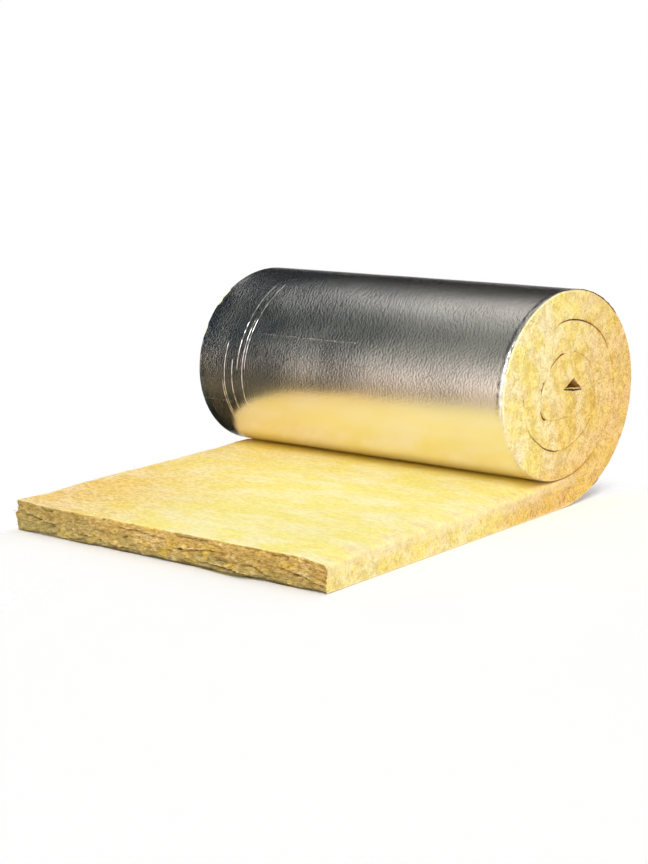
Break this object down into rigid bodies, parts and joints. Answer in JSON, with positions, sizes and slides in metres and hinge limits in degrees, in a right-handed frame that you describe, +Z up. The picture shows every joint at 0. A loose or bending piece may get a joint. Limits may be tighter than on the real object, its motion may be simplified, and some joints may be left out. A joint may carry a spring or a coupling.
{
  "type": "insulation roll",
  "caption": "Foil-faced glass wool insulation blanket, wound into a roll with its outer end drawn out flat on the floor.",
  "frame": {"origin": "under the middle of the whole outline, on the floor that the blanket lies on", "axes": "+X along the roll's axis, +Z up; the laid-out tail points to -Y and the roll is at +Y"},
  "size_m": [1.2, 1.5192, 0.6616],
  "materials": {
    "glass_wool": "matt, fibrous, pale yellow glass wool with peach and deeper yellow patches",
    "aluminium_foil": "bright foil laminate with fine crinkles and a faint reinforcing grid"
  },
  "bodies": {
    "root": {"wool_blanket": "glass_wool", "foil_facing": "aluminium_foil"}
  },
  "joints": []
}
